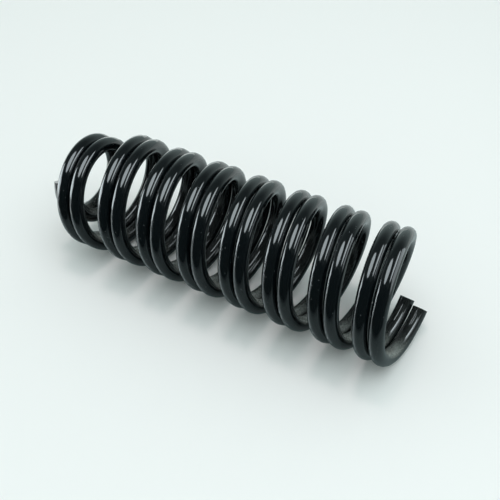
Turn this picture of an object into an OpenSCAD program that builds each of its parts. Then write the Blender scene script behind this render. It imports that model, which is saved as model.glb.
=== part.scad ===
// Twin-wire suspension coil spring, lying on its side with its axis along X.
// Two like wires run side by side through every turn. Both leave a small end at -X,
// widen to the full coil within about a turn, and are cut off square at both ends.
// The origin is on the ground under the middle of the spring, with Z up.

/* [Wire] */
// Diameter of the round wire with its coating
wire_diameter = 13.5; // [9:0.5:16]
// Bevel of the coating round the edge of each cut end
end_bevel = 0.8; // [0.2:0.1:2]

/* [Coil] */
// Diameter of the coil between wire centres
coil_diameter = 104; // [96:1:150]
// Advance along the axis for each turn of the open coil
coil_pitch = 41.9; // [36:0.1:60]
// Turns of each wire from one cut end to the other
coil_turns = 8.45; // [4:0.05:10]
// Angle of the first wire's cut end at the small end, from the +Y side towards the top
start_angle = 155; // [0:1:359]

/* [Small end] */
// Diameter of the small end between wire centres
small_end_diameter = 61; // [50:1:66]
// Turns in which the wire widens from the small end to the full coil
widening_turns = 1.15; // [0.9:0.05:1.25]
// How soon the wire widens: a lower value keeps the small end small for longer
widening_bias = 0.66; // [0.5:0.02:0.9]
// Pitch at the very tip of the wire
tip_pitch = 32; // [0:1:40]
// Turns from the tip to the place where the small end runs flat
flat_turns = 0.75; // [0.5:0.05:0.85]
// Widest pitch, where the small end opens into the coil
opening_pitch = 58; // [42:1:70]
// Turns from the flat place to the widest pitch
opening_turns = 0.3; // [0.2:0.05:0.5]
// Turns from the widest pitch to the even coil
settling_turns = 0.75; // [0.5:0.05:1]

/* [Plain end] */
// Pitch at the cut end of the full coil
closing_pitch = 17.7; // [12:0.1:36]
// Last turns in which the pitch closes
closing_turns = 0.75; // [0.25:0.05:1]

/* [Second wire] */
// Clear space between the two wires where they run flat
wire_clearance = 0.3; // [0.1:0.1:2]
// Angle by which the second wire lags behind the first
second_lag = 5.2; // [0:0.1:10]

/* [Facets] */
// Flat sides round the wire
wire_sides = 12; // [8:4:16]
// Straight steps in one turn of the coil
steps_per_turn = 28; // [20:4:32]

/* [Hidden] */
wire_radius = wire_diameter / 2;
coil_radius = coil_diameter / 2;
small_end_radius = small_end_diameter / 2;
second_shift = wire_diameter + wire_clearance;
step_angle = 360 / steps_per_turn;
bottom_angle = 270;
// Half of the short stretch, in turns, that gives the wire's direction
direction_turns = 0.001;
// Least space, in turns, between a cut end and the next step
end_margin = step_angle / 360 / 4;
open_turn = flat_turns + opening_turns;
// Pitch against turns from the tip
pitch_plan = [
    [0, tip_pitch],
    [flat_turns, 0],
    [open_turn, opening_pitch],
    [open_turn + settling_turns, coil_pitch],
    [coil_turns - closing_turns, coil_pitch],
    [coil_turns, closing_pitch]
];

function total(list) = list * [for (value = list) 1];

function smooth(share) = share * share * (3 - 2 * share);

function unit(v) = v / norm(v);

// Distance along the axis from the tip, the area under the pitch plan
function travel(turn) = total([
    for (i = [0 : len(pitch_plan) - 2])
        let (
            low = pitch_plan[i][0],
            high = max(low, min(turn, pitch_plan[i + 1][0])),
            middle = (low + high) / 2
        )
        (high - low) * lookup(middle, pitch_plan)
]);

function radius_at(turn) =
    let (left = pow(max(0, 1 - max(0, turn) / widening_turns), widening_bias))
    coil_radius - (coil_radius - small_end_radius) * smooth(left);

function centre_at(turn, lag, shift) =
    let (
        angle = start_angle - lag + 360 * turn,
        radius = radius_at(turn)
    )
    [travel(turn) + shift, radius * cos(angle), radius * sin(angle)];

// One ring of corners round the wire, square to its direction, with a corner facing outwards
function ring_at(turn, ring_radius, lag, shift) =
    let (
        angle = start_angle - lag + 360 * turn,
        before = centre_at(max(0, turn - direction_turns), lag, shift),
        after = centre_at(min(coil_turns, turn + direction_turns), lag, shift),
        along = unit(after - before),
        outward = [0, cos(angle), sin(angle)],
        across = unit(cross(along, outward)),
        facing = cross(across, along),
        centre = centre_at(turn, lag, shift)
    )
    [for (side = [0 : wire_sides - 1])
        let (corner = 360 * side / wire_sides)
        centre + ring_radius * (cos(corner) * facing + sin(corner) * across)];

// Turns taken up by the bevel, on a coil of the given radius
function bevel_turns(radius) = end_bevel / (2 * PI * radius);

// Places of the rings: steps set so that each turn has a straight one at the very bottom
function ring_turns(lag) =
    let (
        first = (bottom_angle + step_angle / 2 - start_angle + lag + 360) % step_angle,
        start_step = first / 360
    )
    [for (turn = [start_step : 1 / steps_per_turn : coil_turns])
        if (turn > end_margin && turn < coil_turns - end_margin) turn];

function wire_rings(lag, shift) =
    let (
        start_bevel = bevel_turns(small_end_radius),
        finish_bevel = bevel_turns(coil_radius)
    )
    concat(
        [ring_at(0, wire_radius - end_bevel, lag, shift)],
        [ring_at(start_bevel, wire_radius, lag, shift)],
        [for (turn = ring_turns(lag)) ring_at(turn, wire_radius, lag, shift)],
        [ring_at(coil_turns - finish_bevel, wire_radius, lag, shift)],
        [ring_at(coil_turns, wire_radius - end_bevel, lag, shift)]
    );

function flat_list(lists) = [for (list = lists) for (item = list) item];

first_rings = wire_rings(0, 0);
second_rings = wire_rings(second_lag, second_shift);
all_points = flat_list(concat(first_rings, second_rings));

function lowest(axis) = min([for (point = all_points) point[axis]]);

function highest(axis) = max([for (point = all_points) point[axis]]);

ground_origin = [
    (lowest(0) + highest(0)) / 2,
    (lowest(1) + highest(1)) / 2,
    lowest(2)
];

// A closed skin over the rings, with a flat face on each cut end
module swept_wire(rings) {
    last = len(rings) - 1;
    start_face = [for (side = [0 : wire_sides - 1]) side];
    end_face = [for (side = [wire_sides - 1 : -1 : 0]) last * wire_sides + side];
    skin = [
        for (i = [0 : last - 1])
        for (side = [0 : wire_sides - 1])
            let (
                next = (side + 1) % wire_sides,
                a = i * wire_sides + side,
                b = i * wire_sides + next,
                c = a + wire_sides,
                d = b + wire_sides
            )
            each [[a, c, b], [b, c, d]]
    ];
    translate(-ground_origin)
        polyhedron(points = flat_list(rings), faces = concat([start_face], skin, [end_face]));
}

module first_wire() {
    color("#1b1d1f") swept_wire(first_rings);
}

module second_wire() {
    color("#202224") swept_wire(second_rings);
}

first_wire();
second_wire();
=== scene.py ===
import math
import bpy
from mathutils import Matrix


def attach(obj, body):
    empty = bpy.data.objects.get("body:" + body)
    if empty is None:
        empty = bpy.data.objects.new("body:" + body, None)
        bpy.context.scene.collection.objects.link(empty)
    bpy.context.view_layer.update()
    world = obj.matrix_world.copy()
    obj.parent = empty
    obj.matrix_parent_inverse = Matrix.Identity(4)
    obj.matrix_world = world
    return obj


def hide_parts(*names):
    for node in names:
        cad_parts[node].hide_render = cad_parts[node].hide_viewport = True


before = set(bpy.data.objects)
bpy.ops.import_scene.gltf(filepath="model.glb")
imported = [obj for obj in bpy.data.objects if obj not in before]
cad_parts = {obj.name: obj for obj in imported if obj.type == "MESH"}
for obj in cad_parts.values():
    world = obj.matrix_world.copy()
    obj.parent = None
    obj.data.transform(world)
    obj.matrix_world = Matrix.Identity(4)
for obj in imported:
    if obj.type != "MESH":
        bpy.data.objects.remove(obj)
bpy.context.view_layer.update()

# First wire. A round bar of spring steel, wound hot on a mandrel into an open right-handed coil that lies
# on its side, with a small end at the left where the bar winds inwards and a plain end at the right. Both
# ends are cropped square, their edges are eased, and the bar is then dipped in gloss black enamel.
wire_radius = 0.00675
end_edge = 0.0008
coil_radius = 0.052
small_end_radius = 0.0305
coil_turns = 8.45
start_angle = 155
widening_turns = 1.15
widening_bias = 0.66
even_pitch = 0.0419
closing_turns = 0.75
pitch_plan = [
    (0, 0.032),
    (0.75, 0),
    (1.05, 0.058),
    (1.8, even_pitch),
    (coil_turns - closing_turns, even_pitch),
    (coil_turns, 0.0177),
]
axis_height = 0.05838
first_start = -0.170847
rings_per_turn = 112
merge_distance = 0.00001
smooth_limit = math.radians(40)


def travel_along_axis(turn):
    distance = 0
    for (turn_a, pitch_a), (turn_b, pitch_b) in zip(pitch_plan, pitch_plan[1:]):
        reached = min(max(turn, turn_a), turn_b)
        pitch_reached = pitch_a + (pitch_b - pitch_a) * (reached - turn_a) / (turn_b - turn_a)
        distance += (reached - turn_a) * (pitch_a + pitch_reached) / 2
    return distance


def coil_radius_at(turn):
    left_to_widen = max(0, 1 - turn / widening_turns) ** widening_bias
    eased = left_to_widen ** 2 * (3 - 2 * left_to_widen)
    return coil_radius - (coil_radius - small_end_radius) * eased


def wire_centre(turn, lag, shift):
    angle = math.radians(start_angle - lag + 360 * turn)
    radius = coil_radius_at(turn)
    along = first_start + shift + travel_along_axis(turn)
    return along, radius * math.cos(angle), axis_height + radius * math.sin(angle)


def wind_wire(name, lag, shift):
    bpy.ops.object.select_all(action="DESELECT")
    bpy.ops.curve.primitive_bezier_curve_add(location=(0, 0, 0))
    wire = bpy.context.object
    wire.name = name
    wire.data.splines.clear()
    centre_line = wire.data.splines.new("POLY")
    rings = round(coil_turns * rings_per_turn)
    centre_line.points.add(rings)
    for ring in range(rings + 1):
        place = wire_centre(coil_turns * ring / rings, lag, shift)
        centre_line.points[ring].co = (*place, 1)
    wire.data.dimensions = "3D"
    wire.data.bevel_depth = wire_radius
    wire.data.bevel_resolution = 6
    wire.data.use_fill_caps = True
    bpy.ops.object.convert(target="MESH")
    bpy.ops.object.mode_set(mode="EDIT")
    bpy.ops.mesh.select_all(action="SELECT")
    bpy.ops.mesh.remove_doubles(threshold=merge_distance)
    bpy.ops.mesh.normals_make_consistent(inside=False)
    bpy.ops.mesh.select_all(action="DESELECT")
    bpy.ops.mesh.select_face_by_sides(number=4, type="GREATER")
    bpy.ops.mesh.bevel(offset=end_edge, segments=3, profile=0.5, affect="EDGES")
    bpy.ops.object.mode_set(mode="OBJECT")
    bpy.ops.object.shade_smooth_by_angle(angle=smooth_limit)
    return wire


coating = bpy.data.materials.new("black_coating")
coating.use_nodes = True
coat_nodes = coating.node_tree.nodes
coat_links = coating.node_tree.links
coat = coat_nodes["Principled BSDF"]
coat.inputs["IOR"].default_value = 1.5
coat.inputs["Coat Roughness"].default_value = 0.04
coat.inputs["Coat IOR"].default_value = 1.5
coat_place = coat_nodes.new("ShaderNodeTexCoord")


def coat_noise(scale, detail):
    noise = coat_nodes.new("ShaderNodeTexNoise")
    noise.inputs["Scale"].default_value = scale
    noise.inputs["Detail"].default_value = detail
    coat_links.new(coat_place.outputs["Object"], noise.inputs["Vector"])
    return noise.outputs["Fac"]


def coat_grade(value, start, end, low=0, high=1, ease="LINEAR"):
    grade = coat_nodes.new("ShaderNodeMapRange")
    grade.interpolation_type = ease
    grade.inputs["From Min"].default_value = start
    grade.inputs["From Max"].default_value = end
    grade.inputs["To Min"].default_value = low
    grade.inputs["To Max"].default_value = high
    coat_links.new(value, grade.inputs["Value"])
    return grade.outputs["Result"]


# The enamel dried with a faint orange peel, and handling has left it smeared and speckled.
peel_bump = coat_nodes.new("ShaderNodeBump")
peel_bump.inputs["Strength"].default_value = 0.06
peel_bump.inputs["Distance"].default_value = 0.0006
coat_links.new(coat_noise(scale=320, detail=2), peel_bump.inputs["Height"])
coat_links.new(peel_bump.outputs["Normal"], coat.inputs["Normal"])
smear_gloss = coat_grade(coat_noise(scale=60, detail=5), start=0.35, end=0.75, low=0.07, high=0.16)
specks = coat_nodes.new("ShaderNodeTexVoronoi")
specks.inputs["Scale"].default_value = 190
coat_links.new(coat_place.outputs["Object"], specks.inputs["Vector"])
speck_size = coat_grade(specks.outputs["Distance"], start=0.075, end=0.03)

# Dust has settled where the wires face up, low inside the near side of the coil, and the same pale film is
# spread up the inner front walls as a painted reflection, a sheen that stands in for the grazing light
# those walls mirror.
coat_axes = coat_nodes.new("ShaderNodeSeparateXYZ")
coat_links.new(coat_place.outputs["Object"], coat_axes.inputs["Vector"])
coat_facing = coat_nodes.new("ShaderNodeSeparateXYZ")
coat_links.new(coat_place.outputs["Normal"], coat_facing.inputs["Vector"])
upward_dust_and_sheen = coat_grade(coat_facing.outputs["Z"], start=0.15, end=0.65, ease="SMOOTHSTEP")
low_dust_and_sheen = coat_grade(coat_axes.outputs["Z"], start=0.056, end=0.03, ease="SMOOTHSTEP")
near_dust_and_sheen = coat_grade(coat_axes.outputs["Y"], start=0.008, end=-0.042, low=0.05, ease="SMOOTHSTEP")
dust_and_sheen_grains = coat_grade(coat_noise(scale=900, detail=2), start=0.2, end=0.75)
dust_and_sheen_film = upward_dust_and_sheen
for dust_and_sheen_share in (low_dust_and_sheen, near_dust_and_sheen, dust_and_sheen_grains):
    dust_and_sheen_product = coat_nodes.new("ShaderNodeMath")
    dust_and_sheen_product.operation = "MULTIPLY"
    coat_links.new(dust_and_sheen_film, dust_and_sheen_product.inputs[0])
    coat_links.new(dust_and_sheen_share, dust_and_sheen_product.inputs[1])
    dust_and_sheen_film = dust_and_sheen_product.outputs["Value"]
coat_bare = coat_nodes.new("ShaderNodeMath")
coat_bare.operation = "SUBTRACT"
coat_bare.inputs[0].default_value = 1
coat_links.new(dust_and_sheen_film, coat_bare.inputs[1])
coat_links.new(coat_bare.outputs["Value"], coat.inputs["Coat Weight"])

# Pale dust colour, which also paints the grazing reflection on the inner front walls.
dust_and_sheen_colour = coat_nodes.new("ShaderNodeMix")
dust_and_sheen_colour.data_type = "RGBA"
dust_and_sheen_colour.inputs["A"].default_value = (0.0022, 0.0036, 0.0044, 1)
dust_and_sheen_colour.inputs["B"].default_value = (0.51, 0.5, 0.46, 1)
coat_links.new(dust_and_sheen_film, dust_and_sheen_colour.inputs["Factor"])
speck_colour = coat_nodes.new("ShaderNodeMix")
speck_colour.data_type = "RGBA"
speck_colour.inputs["B"].default_value = (0.13, 0.133, 0.136, 1)
coat_links.new(speck_size, speck_colour.inputs["Factor"])
coat_links.new(dust_and_sheen_colour.outputs["Result"], speck_colour.inputs["A"])
coat_links.new(speck_colour.outputs["Result"], coat.inputs["Base Color"])
dust_and_sheen_dull = coat_nodes.new("ShaderNodeMix")
dust_and_sheen_dull.inputs["B"].default_value = 0.5
coat_links.new(dust_and_sheen_film, dust_and_sheen_dull.inputs["Factor"])
coat_links.new(smear_gloss, dust_and_sheen_dull.inputs["A"])
speck_dull = coat_nodes.new("ShaderNodeMix")
speck_dull.inputs["B"].default_value = 0.7
coat_links.new(speck_size, speck_dull.inputs["Factor"])
coat_links.new(dust_and_sheen_dull.outputs["Result"], speck_dull.inputs["A"])
coat_links.new(speck_dull.outputs["Result"], coat.inputs["Roughness"])

first_wire = wind_wire("first_wire_coated", lag=0, shift=0)
first_wire.data.materials.clear()
first_wire.data.materials.append(coating)
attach(first_wire, "root")
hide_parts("first_wire")

# Second wire. A like bar of the same steel in the same enamel, screwed in beside the first one so that
# the two run as a pair all the way, a hair apart, and stop a little short of each other at both ends.
second_lag = 5.2
second_shift = 0.0138
second_wire = wind_wire("second_wire_coated", second_lag, second_shift)
second_wire.data.materials.clear()
second_wire.data.materials.append(coating)
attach(second_wire, "root")
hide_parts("second_wire")

# Floor. A plain sheet of pale matt paper that the spring lies on, a hair below it so that the round wires
# don't cut into it, and wide enough for every view.
floor_width = 8
floor_drop = 0.0008
bpy.ops.object.select_all(action="DESELECT")
bpy.ops.mesh.primitive_plane_add(size=floor_width, location=(0, 0, 0))
floor = bpy.context.object
floor.name = "pale_floor"
bpy.ops.object.mode_set(mode="EDIT")
bpy.ops.mesh.select_all(action="SELECT")
bpy.ops.transform.translate(value=(0, 0, -floor_drop))
bpy.ops.object.mode_set(mode="OBJECT")
floor_paper = bpy.data.materials.new("pale_floor")
floor_paper.use_nodes = True
floor_shader = floor_paper.node_tree.nodes["Principled BSDF"]
floor_shader.inputs["Base Color"].default_value = (0.92, 0.86, 0.84, 1)
floor_shader.inputs["Roughness"].default_value = 0.9
floor_shader.inputs["Specular IOR Level"].default_value = 0
floor.data.materials.append(floor_paper)

# Lamps. A wide panel and a smaller back panel light the floor and the dust from above. An oval box
# overhead, a low box at the left, an oval box at the right and a small panel by the plain end show only in
# the gloss. Each is given by its place, the side it stands on, its size and how bright its cloth looks.
cool_cloth = (0.85, 0.96, 1)
warm_cloth = (1.1, 0.94, 0.97)


def soft_box(name, place, azimuth, elevation, shape, width, height, brightness, cloth, shows_in_gloss):
    bpy.ops.object.select_all(action="DESELECT")
    bpy.ops.object.light_add(type="AREA", location=place)
    lamp = bpy.context.object
    lamp.name = name
    lamp.rotation_mode = "XYZ"
    lamp.rotation_euler = (math.radians(90 - elevation), 0, math.radians(azimuth))
    lamp.data.shape = shape
    lamp.data.size = width
    lamp.data.size_y = height
    lamp.data.energy = brightness * math.pi * width * height
    lamp.data.color = cloth
    lamp.visible_camera = False
    lamp.visible_glossy = shows_in_gloss
    lamp.visible_diffuse = not shows_in_gloss


soft_box(
    "wide_panel", place=(0.4, -0.23, 1.43), azimuth=60, elevation=72, shape="RECTANGLE",
    width=1.3, height=1.3, brightness=1.4, cloth=cool_cloth, shows_in_gloss=False,
)
soft_box(
    "back_panel", place=(-0.27, 0.27, 2.17), azimuth=225, elevation=80, shape="RECTANGLE",
    width=0.35, height=0.35, brightness=12, cloth=warm_cloth, shows_in_gloss=False,
)
soft_box(
    "overhead_box", place=(-0.115, -0.18, 0.8), azimuth=5, elevation=90, shape="ELLIPSE",
    width=0.57, height=0.62, brightness=3.1, cloth=cool_cloth, shows_in_gloss=True,
)
soft_box(
    "left_box", place=(-0.406, -0.197, 0.116), azimuth=-60, elevation=0, shape="RECTANGLE",
    width=0.36, height=0.228, brightness=4.5, cloth=cool_cloth, shows_in_gloss=True,
)
soft_box(
    "right_box", place=(0.961, 0.276, 1.25), azimuth=106, elevation=0, shape="ELLIPSE",
    width=1.4, height=0.7, brightness=3.2, cloth=cool_cloth, shows_in_gloss=True,
)
soft_box(
    "end_panel", place=(0.292, 0.05, 0.155), azimuth=118, elevation=0, shape="RECTANGLE",
    width=0.16, height=0.11, brightness=1.7, cloth=cool_cloth, shows_in_gloss=True,
)

# Dark cards. One lies on the floor and fades away behind the spring, one lies before it, two lean in front
# of it and at its right corner, and a low one stands before the left box. Only the gloss sees them, so that
# it reflects something dark there. A fade is given by the depths where a card is thinnest and full.
grey_cloth = 0.22
black_cloth = 0.032


def dark_card(name, corners, shade, thinnest_at=1, full_at=0.9, thinnest=0):
    bpy.ops.object.select_all(action="DESELECT")
    bpy.ops.mesh.primitive_plane_add(size=1, location=(0, 0, 0))
    card = bpy.context.object
    card.name = name
    for corner, place in zip(card.data.vertices, corners):
        corner.co = place
    cloth = bpy.data.materials.new(name)
    cloth.use_nodes = True
    cloth_nodes = cloth.node_tree.nodes
    cloth_links = cloth.node_tree.links
    cloth_shader = cloth_nodes["Principled BSDF"]
    cloth_shader.inputs["Base Color"].default_value = (0.9 * shade, shade, shade, 1)
    cloth_shader.inputs["Roughness"].default_value = 1
    cloth_shader.inputs["Specular IOR Level"].default_value = 0
    cloth_place = cloth_nodes.new("ShaderNodeTexCoord")
    cloth_axes = cloth_nodes.new("ShaderNodeSeparateXYZ")
    cloth_links.new(cloth_place.outputs["Object"], cloth_axes.inputs["Vector"])
    fade = cloth_nodes.new("ShaderNodeMapRange")
    fade.interpolation_type = "SMOOTHSTEP"
    fade.inputs["From Min"].default_value = thinnest_at
    fade.inputs["From Max"].default_value = full_at
    fade.inputs["To Min"].default_value = thinnest
    cloth_links.new(cloth_axes.outputs["Y"], fade.inputs["Value"])
    cloth_links.new(fade.outputs["Result"], cloth_shader.inputs["Alpha"])
    card.data.materials.append(cloth)
    card.visible_camera = False
    card.visible_diffuse = False
    card.visible_shadow = False


dark_card("floor_card", [
    (-0.25, -0.25, -0.0004), (3, -0.25, -0.0004), (-0.25, 3, -0.0004), (3, 3, -0.0004),
], grey_cloth, thinnest_at=0.3, full_at=0, thinnest=0.58)
dark_card("near_floor_card", [
    (-0.3, -0.25, -0.0002), (1, -0.25, -0.0002), (-0.3, -0.1, -0.0002), (1, -0.1, -0.0002),
], black_cloth, thinnest_at=-0.115, full_at=-0.205)
dark_card("front_card", [
    (-0.3, -0.155, 0), (0.3, -0.21, 0), (-0.42, -0.49, 0.79), (1, -0.43, 0.79),
], black_cloth)
dark_card("corner_card", [
    (0.3, -0.21, 0), (0.38, -0.08, 0), (1, -0.43, 0.79), (1.3, -0.1, 0.79),
], black_cloth)
dark_card("low_card", [
    (-0.43, -0.15, 0), (-0.3, -0.155, 0), (-0.43, -0.15, 0.054), (-0.3, -0.155, 0.054),
], black_cloth)

# Pale slats. Two rows of narrow slanted slats, low ones on the floor before the spring and upright ones
# before the front card. They show pale from the right and nothing from straight ahead, so that each turn's
# left edge reflects a bright line and its front stays black.
slat_gap = 0.012


def slat_row(name, first_near, first_far, height, count, strength):
    bpy.ops.object.select_all(action="DESELECT")
    bpy.ops.mesh.primitive_plane_add(size=1, location=(0, 0, 0))
    slats = bpy.context.object
    slats.name = name
    slat_corners = [(*first_near, 0), (*first_far, 0), (*first_near, height), (*first_far, height)]
    for corner, place in zip(slats.data.vertices, slat_corners):
        corner.co = place
    row = slats.modifiers.new("row", "ARRAY")
    row.count = count
    row.use_relative_offset = False
    row.use_constant_offset = True
    row.constant_offset_displace = (slat_gap, 0, 0)
    bpy.ops.object.modifier_apply(modifier="row")
    slat_card = bpy.data.materials.new(name)
    slat_card.use_nodes = True
    slat_nodes = slat_card.node_tree.nodes
    slat_links = slat_card.node_tree.links
    slat_nodes.remove(slat_nodes["Principled BSDF"])
    slat_light = slat_nodes.new("ShaderNodeEmission")
    slat_light.inputs["Color"].default_value = (0.85, 0.97, 1, 1)
    slat_light.inputs["Strength"].default_value = strength
    slat_clear = slat_nodes.new("ShaderNodeBsdfTransparent")
    slat_side = slat_nodes.new("ShaderNodeNewGeometry")
    slat_mix = slat_nodes.new("ShaderNodeMixShader")
    slat_links.new(slat_side.outputs["Backfacing"], slat_mix.inputs["Fac"])
    slat_links.new(slat_light.outputs["Emission"], slat_mix.inputs[1])
    slat_links.new(slat_clear.outputs["BSDF"], slat_mix.inputs[2])
    slat_links.new(slat_mix.outputs["Shader"], slat_nodes["Material Output"].inputs["Surface"])
    slats.data.materials.append(slat_card)
    slats.visible_camera = False
    slats.visible_diffuse = False
    slats.visible_shadow = False


slat_row("pale_slats", (-0.408, -0.15), (-0.35, -0.05), height=0.003, count=52, strength=2)
slat_row("upright_slats", (-0.22, -0.15), (-0.21846, -0.14816), height=0.11, count=17, strength=9.5)

# Grey dome. The dim room round the table, darker overhead and paler low behind the spring, which only the
# wires' reflections see.
dome_radius = 3
paler_way = (-0.05, 0.3, -0.2)
bpy.ops.object.select_all(action="DESELECT")
bpy.ops.mesh.primitive_uv_sphere_add(segments=48, ring_count=24, radius=dome_radius, location=(0, 0, 0))
grey_dome = bpy.context.object
grey_dome.name = "grey_dome"
dome_cloth = bpy.data.materials.new("grey_dome")
dome_cloth.use_nodes = True
dome_nodes = dome_cloth.node_tree.nodes
dome_links = dome_cloth.node_tree.links
dome_nodes.remove(dome_nodes["Principled BSDF"])
dome_place = dome_nodes.new("ShaderNodeTexCoord")
dome_back = dome_nodes.new("ShaderNodeVectorMath")
dome_back.operation = "DOT_PRODUCT"
dome_back.inputs[1].default_value = paler_way
dome_links.new(dome_place.outputs["Object"], dome_back.inputs[0])
dome_grade = dome_nodes.new("ShaderNodeMapRange")
dome_grade.interpolation_type = "SMOOTHSTEP"
dome_grade.inputs["From Min"].default_value = 0.05
dome_grade.inputs["From Max"].default_value = 0.8
dome_grade.inputs["To Min"].default_value = 0.1
dome_grade.inputs["To Max"].default_value = 0.42
dome_links.new(dome_back.outputs["Value"], dome_grade.inputs["Value"])
dome_light = dome_nodes.new("ShaderNodeEmission")
dome_light.inputs["Color"].default_value = (0.8, 1, 0.99, 1)
dome_links.new(dome_grade.outputs["Result"], dome_light.inputs["Strength"])
dome_links.new(dome_light.outputs["Emission"], dome_nodes["Material Output"].inputs["Surface"])
grey_dome.data.materials.append(dome_cloth)
grey_dome.visible_camera = False
grey_dome.visible_diffuse = False
grey_dome.visible_shadow = False

# Surroundings and camera. A pale room that lights the floor from all round, and a lens of medium length
# that looks down on the spring's side from the right.
scene = bpy.context.scene
scene.view_settings.view_transform = "Standard"
room = bpy.data.worlds.new("pale_room")
room.use_nodes = True
room_nodes = room.node_tree.nodes
room_links = room.node_tree.links
room_light = room_nodes["Background"]
room_light.inputs["Color"].default_value = (0.8, 0.985, 0.98, 1)
room_rays = room_nodes.new("ShaderNodeLightPath")
seen_or_mirrored = room_nodes.new("ShaderNodeMath")
seen_or_mirrored.operation = "MAXIMUM"
room_links.new(room_rays.outputs["Is Camera Ray"], seen_or_mirrored.inputs[0])
room_links.new(room_rays.outputs["Is Glossy Ray"], seen_or_mirrored.inputs[1])
seen_at_all = room_nodes.new("ShaderNodeMath")
seen_at_all.operation = "MAXIMUM"
room_links.new(seen_or_mirrored.outputs["Value"], seen_at_all.inputs[0])
room_links.new(room_rays.outputs["Is Transmission Ray"], seen_at_all.inputs[1])
room_strength = room_nodes.new("ShaderNodeMapRange")
room_strength.inputs["To Min"].default_value = 0.79
room_strength.inputs["To Max"].default_value = 0.9
room_links.new(seen_at_all.outputs["Value"], room_strength.inputs["Value"])
room_links.new(room_strength.outputs["Result"], room_light.inputs["Strength"])
scene.world = room

camera_azimuth = math.radians(29.684)
camera_elevation = math.radians(42.187)
camera_distance = 0.7685
target_along = 0.01766
target_height = 0.04907
bpy.ops.object.camera_add()
camera = bpy.context.object
camera.location = (
    target_along + camera_distance * math.sin(camera_azimuth) * math.cos(camera_elevation),
    -camera_distance * math.cos(camera_azimuth) * math.cos(camera_elevation),
    target_height + camera_distance * math.sin(camera_elevation),
)
camera.rotation_euler = (math.radians(90) - camera_elevation, 0, camera_azimuth)
camera.data.sensor_width = 36
camera.data.lens = 61.6
camera.data.shift_y = -0.002
scene.camera = camera

bpy.context.view_layer.update()
